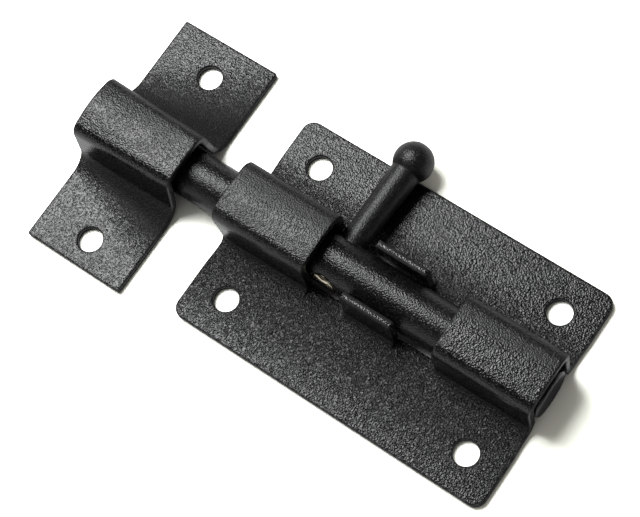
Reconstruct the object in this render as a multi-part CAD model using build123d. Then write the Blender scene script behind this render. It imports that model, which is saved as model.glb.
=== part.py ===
from build123d import *
import os
from math import cos, radians

# Small barrel bolt with its keeper, lying on its back with the bolt shot home and the handle turned down.
# +X points along the bolt to the keeper, +Z away from the door, and the handle points to -Y.
# The origin is the middle of the base plate's screw pattern, on the mounting face. Units are millimetres.

# Driving dimensions

# Steel strip that the base plate and the keeper are stamped from, and how far its edges are broken
sheet = 1.5
edge_break = 0.2

# Base plate
plate_length = 71.0
plate_width = 47.6
plate_corner_r = 2.5
plate_end_draw_in = 0.35
plate_end_draw_half = 13.0
plate_screw_pitch_x = 55.3
plate_screw_pitch_y = 32.0
screw_hole_d = 5.1

# Line of the bolt, which lies a little off the middle of the screw pattern, and its height
bolt_line_y = -0.8
bolt_line_z = 5.3

# Tunnels and stop tabs, pressed up out of the base plate along the bolt line
tunnel_outer_half = 6.8
tunnel_height = 13.9
tunnel_crown = 0.6
tunnel_shoulder_r = 2.8
tunnel_foot_r = 1.8
front_tunnel_overhang = 0.75
rear_tunnel_overhang = -0.3
front_tunnel_rear_x = 15.0
rear_tunnel_front_x = -14.2
tab_front_x = 6.5
tab_rear_x = -5.0
tab_height = 11.4
tab_corner_r = 0.6

# Bolt rod
rod_d = 10.0
rod_rear_x = -35.6
rod_length = 93.0
rod_tip_chamfer = 1.2
rod_rear_break = 0.6

# Handle pin, pressed through the rod and peened over at its tail
handle_x = 12.2
handle_skew = 2.0
handle_rise = 0.8
handle_root_d = 5.3
handle_neck_d = 6.4
handle_head_d = 8.2
handle_head_reach = 24.7
handle_head_flat = 0.35
pin_tail_d = 6.0
pin_tail_depth = 1.6
pin_tail_proud = 0.15
pin_hole_gap = 0.02

# Keeper, a separate strip bent over the tip of the bolt
keeper_near_x = 46.7
keeper_width = 23.1
keeper_left_y = -28.2
keeper_right_y = 26.35
keeper_line_y = -0.5
keeper_near_height = 13.9
keeper_far_height = 14.5
keeper_near_half = 5.95
keeper_far_half = 6.7
keeper_near_crown = 0.2
keeper_far_crown = 1.5
keeper_foot_half = 7.9
keeper_shoulder_r = 2.6
keeper_valley_r = 4.2
keeper_corner_r = 0.5
keeper_hole_x = 58.0
keeper_hole_left_y = -20.3
keeper_hole_right_y = 20.6


# Section of a bent sheet across the bolt: the upper face follows the corners, the lower one lies a sheet below
def bent_sheet(corners, radii, thickness):
    points = [Vector(corner) for corner in corners]
    lower_points = []
    lower_radii = []
    for index, point in enumerate(points):
        arriving = point - points[index - 1] if index > 0 else points[1] - points[0]
        leaving = points[index + 1] - point if point != points[-1] else arriving
        left_turn = arriving.cross(leaving).Z > 0
        half_turn = radians(arriving.get_angle(leaving)) / 2
        downward = (arriving.normalized() + leaving.normalized()).normalized().rotate(Axis.Z, -90)
        lower_points.append(point + downward * (thickness / cos(half_turn)))
        if 0 < index < len(points) - 1:
            lower_radii.append(radii[index - 1] + (thickness if left_turn else -thickness))
    upper = FilletPolyline(*points, radius=radii)
    lower = FilletPolyline(*lower_points, radius=lower_radii)
    ends = [Line(upper @ 0, lower @ 0), Line(upper @ 1, lower @ 1)]
    return Plane.YZ * make_face(Curve() + [upper, lower] + ends)


# Block between two opposite corners
def block(low, high):
    size = Vector(high) - Vector(low)
    return Pos(*low) * Box(size.X, size.Y, size.Z, align=(Align.MIN, Align.MIN, Align.MIN))


# Sizes worked out from the driving dimensions
plate_half_length = plate_length / 2
plate_half_width = plate_width / 2
tunnel_inner_half = tunnel_outer_half - sheet
channel_half = tunnel_outer_half + tunnel_foot_r + sheet / 2
hoop_half = keeper_foot_half + keeper_valley_r


# Sheet raised over the bolt line: two feet, two walls and a roof that is crowned at its middle
def raised_sheet(left, right, foot_half, top_half, middle_y, height, crown, foot_r, shoulder_r):
    # The fillet of the roof takes a quarter of the crown off its corner
    crown_r = top_half**2 / (2 * crown)
    peak = height + crown / 4
    corners = [
        (left, sheet),
        (middle_y - foot_half, sheet),
        (middle_y - top_half, peak - crown),
        (middle_y, peak),
        (middle_y + top_half, peak - crown),
        (middle_y + foot_half, sheet),
        (right, sheet),
    ]
    radii = [foot_r, shoulder_r, crown_r, shoulder_r, foot_r]
    return bent_sheet(corners, radii, sheet)


# The section that the tunnels and the stop tabs share, foot to foot
def tunnel_section():
    return raised_sheet(
        bolt_line_y - channel_half,
        bolt_line_y + channel_half,
        tunnel_outer_half,
        tunnel_outer_half,
        bolt_line_y,
        tunnel_height,
        tunnel_crown,
        tunnel_foot_r,
        tunnel_shoulder_r,
    )


def raised_length(start_x, end_x):
    return extrude(Pos(start_x, 0, 0) * tunnel_section(), end_x - start_x, dir=(1, 0, 0))


# Radius of the shallow arcs that draw the ends of the plate in towards the tunnels
draw_r = (plate_end_draw_half**2 + plate_end_draw_in**2) / (2 * plate_end_draw_in)


def make_flat_plate():
    plate = extrude(RectangleRounded(plate_length, plate_width, plate_corner_r), sheet)
    centre_x = plate_half_length + draw_r - plate_end_draw_in
    for side in (-1, 1):
        plate -= Pos(side * centre_x, bolt_line_y, sheet / 2) * Cylinder(draw_r, 3 * sheet)
    return plate


# Side view that the raised stretches are trimmed to: the roofs don't end right above their feet
def make_end_trim():
    foot_x = plate_half_length - plate_end_draw_in + draw_r - (draw_r**2 - channel_half**2) ** 0.5
    front_x = plate_half_length + front_tunnel_overhang
    rear_x = -plate_half_length - rear_tunnel_overhang
    side_view = Polygon(
        (-foot_x, 0),
        (foot_x, 0),
        (foot_x, sheet),
        (front_x, tunnel_height),
        (rear_x, tunnel_height),
        (-foot_x, sheet),
        align=None,
    )
    return extrude(Plane.XZ * side_view, plate_half_width, both=True)


# Edges that are broken: the outline of the plate's upper face and the rims of its holes
def plate_top_edges(plate):
    level = plate.edges().filter_by(lambda edge: abs(edge.center().Z - sheet) < 0.001)
    rims = level.filter_by(lambda edge: edge.is_closed)
    inner_x = plate_half_length - plate_end_draw_in - edge_break
    inner_y = plate_half_width - plate_corner_r
    outline = level.filter_by(lambda edge: abs(edge.center().X) > inner_x or abs(edge.center().Y) > inner_y)
    return rims + outline


def make_base_plate():
    plate = make_flat_plate()
    plate -= block(
        (rear_tunnel_front_x, bolt_line_y - tunnel_inner_half, -sheet),
        (front_tunnel_rear_x, bolt_line_y + tunnel_inner_half, 2 * sheet),
    )
    end_trim = make_end_trim()
    stretches = [
        (-plate_length, rear_tunnel_front_x),
        (tab_rear_x, tab_front_x),
        (front_tunnel_rear_x, plate_length),
    ]
    raised = []
    for start_x, end_x in stretches:
        plate -= block(
            (start_x, bolt_line_y - channel_half, -sheet),
            (end_x, bolt_line_y + channel_half, 2 * sheet),
        )
        raised.append(raised_length(start_x, end_x) & end_trim)
    # The roof is open between the tunnels, which leaves the two stop tabs standing
    raised[1] -= block(
        (tab_rear_x, bolt_line_y - channel_half, tab_height),
        (tab_front_x, bolt_line_y + channel_half, 2 * tunnel_height),
    )
    tab_ends = raised[1].edges().filter_by(Axis.Y).group_by(Axis.Z)[-1]
    raised[1] = fillet(tab_ends, tab_corner_r)
    plate += raised
    holes = GridLocations(plate_screw_pitch_x, plate_screw_pitch_y, 2, 2)
    plate -= holes * Cylinder(screw_hole_d / 2, 4 * sheet)
    return chamfer(plate_top_edges(plate), edge_break)


# Places a piece that stands along +Y on the bolt line, as the handle pin lies
def along_handle(piece):
    return Pos(handle_x, bolt_line_y, bolt_line_z) * Rot(0, 0, 180 - handle_skew) * Rot(handle_rise, 0, 0) * piece


# Shank of the handle pin: a straight end, the flared tail, the root in the rod and the taper up to the head
def handle_shank(gap, end_reach):
    root_r = handle_root_d / 2 + gap
    tail_r = pin_tail_d / 2 + gap
    tail_reach = rod_d / 2 + pin_tail_proud
    outline = Polyline(
        (0, -end_reach),
        (tail_r, -end_reach),
        (tail_r, -tail_reach),
        (root_r, pin_tail_depth - tail_reach),
        (root_r, rod_d / 2),
        (handle_neck_d / 2, handle_head_reach),
        (0, handle_head_reach),
        (0, -end_reach),
    )
    return revolve(make_face(outline), Axis.Y)


def make_handle_pin():
    tail_reach = rod_d / 2 + pin_tail_proud
    head_r = handle_head_d / 2
    # The peened tail follows the round of the rod
    rod_round = Rot(0, 90, 0) * Cylinder(tail_reach, 4 * pin_tail_d)
    tail_side = block((-rod_d, -rod_d, -rod_d), (rod_d, 0, rod_d))
    shank = handle_shank(0, rod_d)
    tail = shank & rod_round & tail_side
    head_end = handle_head_reach + head_r - handle_head_flat
    head = Pos(0, handle_head_reach, 0) * Sphere(head_r)
    head &= block((-head_r, 0, -head_r), (head_r, head_end, head_r))
    return along_handle(tail + (shank - tail_side) + head)


def make_bolt_rod():
    rod = Cylinder(rod_d / 2, rod_length, align=(Align.CENTER, Align.CENTER, Align.MIN))
    rod = chamfer(rod.edges().group_by(Axis.Z)[-1], rod_tip_chamfer)
    rod = fillet(rod.edges().group_by(Axis.Z)[0], rod_rear_break)
    rod = Pos(rod_rear_x, bolt_line_y, bolt_line_z) * Rot(0, 90, 0) * rod
    return rod - along_handle(handle_shank(pin_hole_gap, rod_d))


# Section of the keeper's hoop, up to where its flanges are flat
def keeper_section(top_half, height, crown):
    return raised_sheet(
        keeper_line_y - hoop_half,
        keeper_line_y + hoop_half,
        keeper_foot_half,
        top_half,
        keeper_line_y,
        height,
        crown,
        keeper_valley_r,
        keeper_shoulder_r,
    )


# The hoop spreads a little from its near side to its far side, so it is lofted between two sections
def make_keeper():
    far_x = keeper_near_x + keeper_width
    near = Pos(keeper_near_x, 0, 0) * keeper_section(keeper_near_half, keeper_near_height, keeper_near_crown)
    far = Pos(far_x, 0, 0) * keeper_section(keeper_far_half, keeper_far_height, keeper_far_crown)
    left_flange = block((keeper_near_x, keeper_left_y, 0), (far_x, keeper_line_y - hoop_half, sheet))
    right_flange = block((keeper_near_x, keeper_line_y + hoop_half, 0), (far_x, keeper_right_y, sheet))
    keeper = loft([near, far], ruled=True) + [left_flange, right_flange]
    upright_edges = keeper.edges().filter_by(Axis.Z).group_by(Axis.Y)
    keeper = fillet(upright_edges[0] + upright_edges[-1], keeper_corner_r)
    for hole_y in (keeper_hole_left_y, keeper_hole_right_y):
        keeper -= Pos(keeper_hole_x, hole_y, sheet / 2) * Cylinder(screw_hole_d / 2, 4 * sheet)
    # Both cut sides of the strip and the upper rims of the holes are broken
    middle_x = keeper_near_x + keeper_width / 2
    sides = keeper.edges().filter_by(lambda edge: abs(edge.center().X - middle_x) > keeper_width / 2 - edge_break)
    rims = keeper.edges().filter_by(lambda edge: edge.is_closed and edge.center().Z > sheet / 2)
    return chamfer(sides + rims, edge_break)


parts = {
    "base_plate": make_base_plate(),
    "bolt_rod": make_bolt_rod(),
    "handle_pin": make_handle_pin(),
    "keeper": make_keeper(),
}

os.makedirs("parts", exist_ok=True)
for name, shape in parts.items():
    export_step(shape, f"parts/{name}.step")
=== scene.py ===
import math

import bpy
from mathutils import Matrix, Vector

# Looks of a black powder coated barrel bolt, lying on a white table under a large soft lamp.
# Everything is in metres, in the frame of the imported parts.

MM = 0.001

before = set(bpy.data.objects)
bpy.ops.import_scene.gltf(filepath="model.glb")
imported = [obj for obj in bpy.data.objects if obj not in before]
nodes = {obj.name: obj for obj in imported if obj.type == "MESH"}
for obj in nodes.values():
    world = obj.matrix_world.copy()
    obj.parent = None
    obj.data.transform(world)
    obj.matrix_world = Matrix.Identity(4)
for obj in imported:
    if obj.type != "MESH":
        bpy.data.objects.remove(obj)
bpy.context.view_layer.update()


# Node helpers

def link(tree, source, target):
    tree.links.new(source, target)


def feed(tree, socket, value):
    """Sets a socket to a plain value, or links another node's output to it."""
    if isinstance(value, (int, float, tuple)):
        socket.default_value = value
    else:
        link(tree, value, socket)


def add_node(tree, kind, **settings):
    node = tree.nodes.new(kind)
    for key, value in settings.items():
        setattr(node, key, value)
    return node


def math_node(tree, operation, *values):
    node = add_node(tree, "ShaderNodeMath", operation=operation)
    for socket, value in zip(node.inputs, values):
        feed(tree, socket, value)
    return node.outputs[0]


def noise(tree, vector, size, detail=1.0):
    """Noise whose features are about size across."""
    node = add_node(tree, "ShaderNodeTexNoise")
    node.inputs["Scale"].default_value = 1.0 / size
    node.inputs["Detail"].default_value = detail
    link(tree, vector, node.inputs["Vector"])
    return node.outputs["Fac"]


def map_range(tree, value, from_low, from_high, to_low=0.0, to_high=1.0):
    """Smooth step of a value from one range to another."""
    node = add_node(tree, "ShaderNodeMapRange", interpolation_type="SMOOTHSTEP")
    link(tree, value, node.inputs["Value"])
    limits = {"From Min": from_low, "From Max": from_high, "To Min": to_low, "To Max": to_high}
    for name, limit in limits.items():
        feed(tree, node.inputs[name], limit)
    return node.outputs["Result"]


def mix(tree, data_type, socket_type, mask, first, second):
    node = add_node(tree, "ShaderNodeMix", data_type=data_type)
    link(tree, mask, node.inputs["Factor"])
    for name, value in (("A", first), ("B", second)):
        socket = next(s for s in node.inputs if s.name == name and s.type == socket_type)
        feed(tree, socket, value)
    return next(s for s in node.outputs if s.type == socket_type)


def mix_colour(tree, mask, first, second):
    return mix(tree, "RGBA", "RGBA", mask, first, second)


def mix_value(tree, mask, first, second):
    return mix(tree, "FLOAT", "VALUE", mask, first, second)


def split_axes(tree, vector):
    node = add_node(tree, "ShaderNodeSeparateXYZ")
    link(tree, vector, node.inputs[0])
    return node.outputs


def off_line(tree, value, line):
    """How far a value is from a line."""
    return math_node(tree, "ABSOLUTE", math_node(tree, "SUBTRACT", value, line))


def new_group(name, inputs, outputs):
    group = bpy.data.node_groups.new(name, "ShaderNodeTree")
    for in_out, sockets in (("INPUT", inputs), ("OUTPUT", outputs)):
        for socket_name, kind in sockets:
            group.interface.new_socket(socket_name, in_out=in_out, socket_type=kind)
    start = group.nodes.new("NodeGroupInput")
    end = group.nodes.new("NodeGroupOutput")
    return group, start, end


def place_group(tree, group, vector):
    node = add_node(tree, "ShaderNodeGroup", node_tree=group)
    link(tree, vector, node.inputs["Vector"])
    return node


# Camera, at the photograph's viewing angle

CAMERA_PLACE = Vector((-80.5, 63.9, 312.4)) * MM
CAMERA_TARGET = Vector((15.74, 0.17, 5.0)) * MM
CAMERA_ROLL = math.radians(-22.94)
LENS_MM = 96.77
SENSOR_MM = 36.0
CLIP_NEAR = 0.01
CLIP_FAR = 10.0


def make_camera():
    data = bpy.data.cameras.new("camera")
    data.lens = LENS_MM
    data.sensor_width = SENSOR_MM
    data.sensor_fit = "HORIZONTAL"
    data.clip_start = CLIP_NEAR
    data.clip_end = CLIP_FAR
    camera = bpy.data.objects.new("camera", data)
    bpy.context.scene.collection.objects.link(camera)
    look = (CAMERA_TARGET - CAMERA_PLACE).to_track_quat("-Z", "Y").to_matrix().to_4x4()
    roll = Matrix.Rotation(CAMERA_ROLL, 4, "Z")
    camera.matrix_world = Matrix.Translation(CAMERA_PLACE) @ look @ roll
    bpy.context.scene.camera = camera


# Room and backdrop

ROOM_COLOUR = (0.97, 0.985, 1.0, 1.0)
ROOM_STRENGTH = 0.05
BACKDROP_COLOUR = (1.0, 1.0, 1.0, 1.0)
BACKDROP_STRENGTH = 1.0
# How high the backdrop reaches in glossy surfaces, as the sine of its height above the horizon
BACKDROP_LOW = 0.04
BACKDROP_TOP = 0.16


def background(tree, colour, strength):
    node = add_node(tree, "ShaderNodeBackground")
    node.inputs["Color"].default_value = colour
    node.inputs["Strength"].default_value = strength
    return node.outputs[0]


def make_world():
    """A dim room with a white backdrop, which glossy surfaces see low round the horizon."""
    world = bpy.data.worlds.new("studio")
    world.use_nodes = True
    tree = world.node_tree
    tree.nodes.clear()
    room = background(tree, ROOM_COLOUR, ROOM_STRENGTH)
    backdrop = background(tree, BACKDROP_COLOUR, BACKDROP_STRENGTH)
    path = add_node(tree, "ShaderNodeLightPath").outputs
    upward = split_axes(tree, add_node(tree, "ShaderNodeTexCoord").outputs["Generated"])["Z"]
    low = map_range(tree, upward, BACKDROP_LOW, BACKDROP_TOP, 1.0, 0.0)
    mirrored = math_node(tree, "MULTIPLY", path["Is Glossy Ray"], low)
    seen = math_node(tree, "MAXIMUM", path["Is Camera Ray"], path["Is Transmission Ray"])
    blend = add_node(tree, "ShaderNodeMixShader")
    link(tree, math_node(tree, "MAXIMUM", seen, mirrored), blend.inputs["Fac"])
    link(tree, room, blend.inputs[1])
    link(tree, backdrop, blend.inputs[2])
    output = add_node(tree, "ShaderNodeOutputWorld")
    link(tree, blend.outputs[0], output.inputs["Surface"])
    bpy.context.scene.world = world


# Table

TABLE_DROP = 0.02 * MM
TABLE_HALF_SIZE = 1.2
# The table's own colour, and how it looks to the camera and in glossy surfaces
TABLE_COLOUR = (0.80, 0.79, 0.77, 1.0)
TABLE_SEEN_COLOUR = (2.40, 2.40, 2.24, 1.0)
TABLE_MIRRORED_COLOUR = (1.06, 1.06, 1.05, 1.0)
# Painted shade: the table is left unbrightened where it is seen through the plate's open middle, so it shows
# dark there as shaded
WELL_HALF_LENGTH = 34.0 * MM
WELL_HALF_WIDTH = 8.0 * MM
# Painted light: to the camera the table glows in its shadows where they are open to the room, lifting them
# as fill light would
PAINTED_FILL_COLOUR = (0.25, 0.235, 0.19, 1.0)
FILL_REACH = 20 * MM
FILL_SAMPLES = 8
FILL_POWER = 2.0


def make_table_material():
    material = bpy.data.materials.new("white_table")
    material.use_nodes = True
    tree = material.node_tree
    tree.nodes.clear()
    path = add_node(tree, "ShaderNodeLightPath").outputs
    axes = split_axes(tree, add_node(tree, "ShaderNodeTexCoord").outputs["Object"])
    # Painted shade: no brightening inside the plate's open middle
    along = math_node(tree, "LESS_THAN", off_line(tree, axes["X"], 0.0), WELL_HALF_LENGTH)
    across = math_node(tree, "LESS_THAN", off_line(tree, axes["Y"], 0.0), WELL_HALF_WIDTH)
    open_table = math_node(tree, "SUBTRACT", 1.0, math_node(tree, "MULTIPLY", along, across))
    brighter = math_node(tree, "MULTIPLY", path["Is Camera Ray"], open_table)
    mirrored = math_node(tree, "MAXIMUM", path["Is Glossy Ray"], path["Is Transmission Ray"])
    colour = mix_colour(tree, mirrored, TABLE_COLOUR, TABLE_MIRRORED_COLOUR)
    paint = add_node(tree, "ShaderNodeBsdfDiffuse")
    link(tree, mix_colour(tree, brighter, colour, TABLE_SEEN_COLOUR), paint.inputs["Color"])
    # Painted fill light: a glow on the table for camera rays, stronger where the table is open to the room
    openness = add_node(tree, "ShaderNodeAmbientOcclusion", samples=FILL_SAMPLES)
    openness.inputs["Distance"].default_value = FILL_REACH
    share = math_node(tree, "POWER", openness.outputs["AO"], FILL_POWER)
    painted_fill_glow = add_node(tree, "ShaderNodeEmission")
    painted_fill_glow.inputs["Color"].default_value = PAINTED_FILL_COLOUR
    link(tree, math_node(tree, "MULTIPLY", share, brighter), painted_fill_glow.inputs["Strength"])
    both = add_node(tree, "ShaderNodeAddShader")
    link(tree, paint.outputs[0], both.inputs[0])
    link(tree, painted_fill_glow.outputs[0], both.inputs[1])
    output = add_node(tree, "ShaderNodeOutputMaterial")
    link(tree, both.outputs[0], output.inputs["Surface"])
    return material


def make_table():
    mesh = bpy.data.meshes.new("table")
    half = TABLE_HALF_SIZE
    corners = [(-half, -half, 0), (half, -half, 0), (half, half, 0), (-half, half, 0)]
    mesh.from_pydata(corners, [], [(0, 1, 2, 3)])
    mesh.materials.append(make_table_material())
    table = bpy.data.objects.new("table", mesh)
    table.location.z = -TABLE_DROP
    bpy.context.scene.collection.objects.link(table)


# Lamps: where each hangs, seen from the point that it is aimed at, its size and its power

LAMP_AIM = Vector((15, 0, 5)) * MM
LAMP_COLOUR = (0.97, 1.0, 0.988)
LAMPS = {
    "key_softbox": {
        "place": Vector((282, -62, 526)) * MM,
        "size": (320 * MM, 320 * MM),
        "power": 3.7,
    },
    "far_side_softbox": {
        "place": Vector((0, 560, 205)) * MM,
        "size": (340 * MM, 200 * MM),
        "power": 0.12,
    },
}


def make_lamps():
    for name, lamp in LAMPS.items():
        data = bpy.data.lights.new(name, "AREA")
        data.shape = "RECTANGLE"
        data.size, data.size_y = lamp["size"]
        data.energy = lamp["power"]
        data.color = LAMP_COLOUR
        holder = bpy.data.objects.new(name, data)
        holder.location = LAMP_AIM + lamp["place"]
        holder.rotation_mode = "QUATERNION"
        holder.rotation_quaternion = (-lamp["place"]).to_track_quat("-Z", "Y")
        bpy.context.scene.collection.objects.link(holder)


# Pebbled skin of the powder coat

PEBBLE_SIZE = 0.275 * MM
WAVE_SIZE = 0.9 * MM
WAVE_SHARE = 0.15
# How high a pebble stands where its fleck starts, and where it is whole
FLECK_FROM = 0.52
FLECK_FULL = 0.72


def make_pebble_group():
    """Height of the coat's skin, and where the tops of its pebbles are."""
    group, start, end = new_group(
        "powder_pebble",
        [("Vector", "NodeSocketVector")],
        [("Height", "NodeSocketFloat"), ("Fleck", "NodeSocketFloat")],
    )
    vector = start.outputs["Vector"]
    pebbles = noise(group, vector, PEBBLE_SIZE, 0.0)
    waves = math_node(group, "MULTIPLY", noise(group, vector, WAVE_SIZE, 0.0), WAVE_SHARE)
    height = math_node(group, "MULTIPLY_ADD", pebbles, 1.0 - WAVE_SHARE, waves)
    link(group, height, end.inputs["Height"])
    link(group, map_range(group, pebbles, FLECK_FROM, FLECK_FULL), end.inputs["Fleck"])
    return group


# Each piece's coat: its roughness and the depth of its pebbles. The two sheet pieces have a dull band on
# both sides of the raised part: the middle line between the two bands, how far from it they start, where
# they end on the +Y and on the -Y side, and how much wider they get for each metre towards -X. On the
# keeper they are still rougher in their core, close to the raised part.

COATS = {
    "base_plate": {
        "roughness": 0.20,
        "depth": 0.13 * MM,
        "middle": -0.8 * MM,
        "dull_from": 6.0 * MM,
        "dull_to": (30.0 * MM, 15.0 * MM),
        "widening": 0.0,
    },
    "keeper": {
        "roughness": 0.21,
        "depth": 0.13 * MM,
        "middle": -0.5 * MM,
        "dull_from": 8.5 * MM,
        "dull_to": (17.0 * MM, 25.0 * MM),
        "widening": 25.0,
        "core_roughness": 0.92,
    },
    "bolt_rod": {"roughness": 0.29, "depth": 0.11 * MM},
    "handle_pin": {"roughness": 0.40, "depth": 0.09 * MM},
}

COAT_COLOUR = (0.003, 0.0031, 0.003, 1.0)
COAT_FLECK_COLOUR = (0.022, 0.0223, 0.0218, 1.0)

# Slow change of the roughness over a piece
BLOTCH_SIZE = 9 * MM
BLOTCH_FROM = 0.35
BLOTCH_FULL = 0.65
BLOTCH_SMOOTHER = 0.02
BLOTCH_ROUGHER = 0.03

# Pebbles are shallower on walls than on faces that look up. WALL_PEBBLE is the share of their height that
# is left where the upward part of the normal is at most WALL_NORMAL. They are whole from UPWARD_NORMAL.
WALL_PEBBLE = 0.35
WALL_NORMAL = 0.25
UPWARD_NORMAL = 0.80

# Edges look rounded and dull. EDGE_FULL and EDGE_NONE are the cosine of the angle between the rounded normal
# and the plain one where a spot counts as fully an edge, and where it no longer does.
EDGE_ROUND = 0.65 * MM
EDGE_SAMPLES = 8
EDGE_ROUGHNESS = 0.85
EDGE_FULL = 0.90
EDGE_NONE = 0.995

# The dull band lies on the flat sheet and fades out up the walls, between DULL_LOW and DULL_HIGH. Its
# pebbles are DULL_PEBBLE times as high.
DULL_ROUGHNESS = 0.38
DULL_PEBBLE = 3.0
DULL_LOW = 2.2 * MM
DULL_HIGH = 6.0 * MM
# Where along X the band has its plain width, when it widens towards -X
WIDENING_MIDDLE = 58.0 * MM
# How quickly the dullest middle of the band fades into the rest of it
CORE_POWER = 4.0


def make_dull_group():
    """The dull band on the flat sheet beside a raised part, stronger the closer it is."""
    group, start, end = new_group(
        "dull_foot",
        [
            ("Vector", "NodeSocketVector"),
            ("Middle", "NodeSocketFloat"),
            ("Near", "NodeSocketFloat"),
            ("Plus Reach", "NodeSocketFloat"),
            ("Minus Reach", "NodeSocketFloat"),
            ("Widening", "NodeSocketFloat"),
        ],
        [("Mask", "NodeSocketFloat")],
    )
    axes = split_axes(group, start.outputs["Vector"])
    offset = math_node(group, "SUBTRACT", axes["Y"], start.outputs["Middle"])
    behind = math_node(group, "SUBTRACT", WIDENING_MIDDLE, axes["X"])
    wider = math_node(group, "MULTIPLY_ADD", behind, start.outputs["Widening"], 1.0)
    offset = math_node(group, "DIVIDE", offset, wider)
    mask = map_range(group, axes["Z"], DULL_LOW, DULL_HIGH, 1.0, 0.0)
    for sign, reach in ((1.0, "Plus Reach"), (-1.0, "Minus Reach")):
        outward = math_node(group, "MULTIPLY", offset, sign)
        fade = map_range(group, outward, start.outputs["Near"], start.outputs[reach], 1.0, 0.0)
        mask = math_node(group, "MULTIPLY", mask, fade)
    link(group, mask, end.inputs["Mask"])
    return group


def add_dull_band(tree, dull, place, look, roughness, height):
    band = place_group(tree, dull, place)
    plus_reach, minus_reach = look["dull_to"]
    band.inputs["Middle"].default_value = look["middle"]
    band.inputs["Near"].default_value = look["dull_from"]
    band.inputs["Plus Reach"].default_value = plus_reach
    band.inputs["Minus Reach"].default_value = minus_reach
    band.inputs["Widening"].default_value = look["widening"]
    mask = band.outputs["Mask"]
    roughness = mix_value(tree, mask, roughness, DULL_ROUGHNESS)
    if "core_roughness" in look:
        core = math_node(tree, "POWER", mask, CORE_POWER)
        roughness = mix_value(tree, core, roughness, look["core_roughness"])
    deeper = mix_value(tree, mask, 1.0, DULL_PEBBLE)
    return roughness, math_node(tree, "MULTIPLY", height, deeper)


# The roofs are rougher towards their -Y shoulder, and the front tunnel's roof is rougher all over

ROOF_LOW = 9.0 * MM
SHOULDER_FROM = 0.5 * MM
SHOULDER_FULL = -6.0 * MM
SHOULDER_ROUGHER = 0.20
FRONT_ROOF_MIDDLE = 25.6 * MM
FRONT_ROOF_HALF = 10.9 * MM
FRONT_ROOF_ROUGHER = 0.10


def add_rougher_roof(tree, place, roughness):
    axes = split_axes(tree, place)
    high = math_node(tree, "GREATER_THAN", axes["Z"], ROOF_LOW)
    shoulder = map_range(tree, axes["Y"], SHOULDER_FULL, SHOULDER_FROM, SHOULDER_ROUGHER, 0.0)
    from_middle = off_line(tree, axes["X"], FRONT_ROOF_MIDDLE)
    front = math_node(tree, "LESS_THAN", from_middle, FRONT_ROOF_HALF)
    more = math_node(tree, "MULTIPLY_ADD", front, FRONT_ROOF_ROUGHER, shoulder)
    return math_node(tree, "MULTIPLY_ADD", high, more, roughness)


# The tops of the two tabs are polished along their middle and dull beside it

TAB_MIDDLE = 0.75 * MM
TAB_HALF_LENGTH = 7.0 * MM
TAB_LOW = 11.0 * MM
TAB_LINE_HALF = 6.02 * MM
TAB_WORN_HALF = 0.17 * MM
TAB_WORN_END = 0.289 * MM
TAB_WORN_ROUGHNESS = 0.14
TAB_DULL_ROUGHNESS = 0.75


def add_tab_wear(tree, place, look, roughness):
    axes = split_axes(tree, place)
    along = math_node(tree, "LESS_THAN", off_line(tree, axes["X"], TAB_MIDDLE), TAB_HALF_LENGTH)
    raised = math_node(tree, "GREATER_THAN", axes["Z"], TAB_LOW)
    on_tab = math_node(tree, "MULTIPLY", along, raised)
    across = off_line(tree, off_line(tree, axes["Y"], look["middle"]), TAB_LINE_HALF)
    worn = map_range(tree, across, TAB_WORN_HALF, TAB_WORN_END, 1.0, 0.0)
    top = mix_value(tree, worn, TAB_DULL_ROUGHNESS, TAB_WORN_ROUGHNESS)
    return mix_value(tree, on_tab, roughness, top)


# The pin's tail is bare steel where it was peened over, darker steel with a painted reflection: a light
# colour along one wandering strip

# Colour of the painted reflection along the strip, and the darker steel of the rest of the tail
PAINTED_REFLECTION_COLOUR = (0.86, 0.77, 0.61, 1.0)
STEEL_DARK_COLOUR = (0.12, 0.10, 0.078, 1.0)
STEEL_ROUGHNESS = 0.26
BARE_FROM = 3.0 * MM
BARE_FULL = 3.4 * MM
STRIP_Z = 7.6 * MM
STRIP_BRIGHT = 0.45 * MM
STRIP_END = 0.80 * MM
STRIP_WANDER = 1.6 * MM
STRIP_WANDER_SIZE = 1.5 * MM
DENT_SIZE = 1.3 * MM
# Depth of the hammer dents and height of the low ridge between them, in pebble depths of the pin's coat
DENT_DEPTH = 1.2
RIDGE_HEIGHT = 1.8
RIDGE_HALF = 0.7 * MM


def add_bare_tail(tree, shader, place, colour, roughness, height):
    axes = split_axes(tree, place)
    bare = map_range(tree, axes["Y"], BARE_FROM, BARE_FULL)
    link(tree, bare, shader.inputs["Metallic"])
    # Painted reflection: the wandering strip takes the light steel colour, the rest of the tail the dark one
    shift = noise(tree, place, STRIP_WANDER_SIZE)
    wander = math_node(tree, "MULTIPLY_ADD", shift, STRIP_WANDER, axes["Z"])
    strip = off_line(tree, wander, STRIP_Z)
    painted_reflection = map_range(tree, strip, STRIP_BRIGHT, STRIP_END, 1.0, 0.0)
    steel = mix_colour(tree, painted_reflection, STEEL_DARK_COLOUR, PAINTED_REFLECTION_COLOUR)
    ridge = map_range(tree, strip, 0.0, RIDGE_HALF, RIDGE_HEIGHT, 0.0)
    relief = math_node(tree, "MULTIPLY_ADD", noise(tree, place, DENT_SIZE), DENT_DEPTH, ridge)
    colour = mix_colour(tree, bare, colour, steel)
    roughness = mix_value(tree, bare, roughness, STEEL_ROUGHNESS)
    return colour, roughness, mix_value(tree, bare, height, relief)


def find_edges(tree, rounded):
    """Where the rounded normal leans away from the plain one."""
    plain = add_node(tree, "ShaderNodeNewGeometry").outputs["Normal"]
    agreement = add_node(tree, "ShaderNodeVectorMath", operation="DOT_PRODUCT")
    link(tree, rounded, agreement.inputs[0])
    link(tree, plain, agreement.inputs[1])
    return map_range(tree, agreement.outputs["Value"], EDGE_FULL, EDGE_NONE, 1.0, 0.0)


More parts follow.
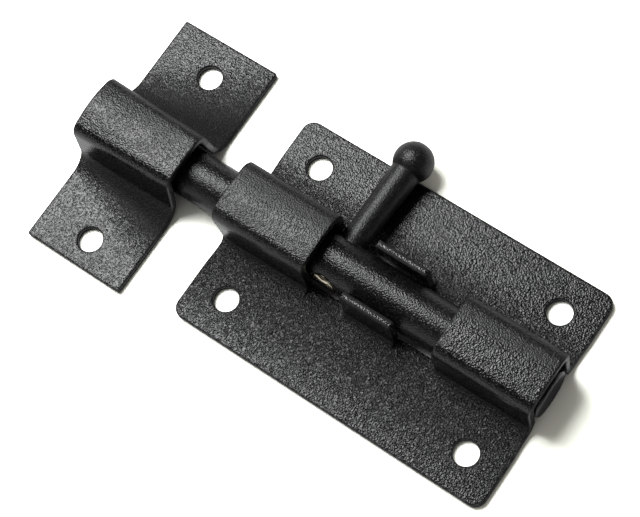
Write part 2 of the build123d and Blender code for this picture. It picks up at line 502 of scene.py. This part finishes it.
def make_coat(node_name, pebble, dull):
    look = COATS[node_name]
    material = bpy.data.materials.new(node_name + "_coat")
    material.use_nodes = True
    tree = material.node_tree
    shader = tree.nodes["Principled BSDF"]
    coordinates = add_node(tree, "ShaderNodeTexCoord").outputs
    place = coordinates["Object"]
    skin = place_group(tree, pebble, place).outputs
    normal_z = split_axes(tree, coordinates["Normal"])["Z"]
    pebble_share = map_range(tree, normal_z, WALL_NORMAL, UPWARD_NORMAL, WALL_PEBBLE, 1.0)
    height = math_node(tree, "MULTIPLY", skin["Height"], pebble_share)
    colour = mix_colour(tree, skin["Fleck"], COAT_COLOUR, COAT_FLECK_COLOUR)
    smoothest = look["roughness"] - BLOTCH_SMOOTHER
    roughest = look["roughness"] + BLOTCH_ROUGHER
    blotches = noise(tree, place, BLOTCH_SIZE)
    roughness = map_range(tree, blotches, BLOTCH_FROM, BLOTCH_FULL, smoothest, roughest)
    if "dull_to" in look:
        roughness, height = add_dull_band(tree, dull, place, look, roughness, height)
        roughness = add_rougher_roof(tree, place, roughness)
    if node_name == "base_plate":
        roughness = add_tab_wear(tree, place, look, roughness)
    bevel = add_node(tree, "ShaderNodeBevel", samples=EDGE_SAMPLES)
    bevel.inputs["Radius"].default_value = EDGE_ROUND
    rounded = bevel.outputs[0]
    roughness = mix_value(tree, find_edges(tree, rounded), roughness, EDGE_ROUGHNESS)
    if node_name == "handle_pin":
        colour, roughness, height = add_bare_tail(tree, shader, place, colour, roughness, height)
    link(tree, colour, shader.inputs["Base Color"])
    link(tree, roughness, shader.inputs["Roughness"])
    bump = add_node(tree, "ShaderNodeBump")
    bump.inputs["Distance"].default_value = look["depth"]
    link(tree, height, bump.inputs["Height"])
    link(tree, rounded, bump.inputs["Normal"])
    link(tree, bump.outputs[0], shader.inputs["Normal"])
    return material


make_camera()
make_world()
make_table()
make_lamps()

pebble_group = make_pebble_group()
dull_group = make_dull_group()
for node_name in COATS:
    coat = make_coat(node_name, pebble_group, dull_group)
    for slot in nodes[node_name].material_slots:
        slot.material = coat

bpy.context.scene.view_settings.view_transform = "Standard"
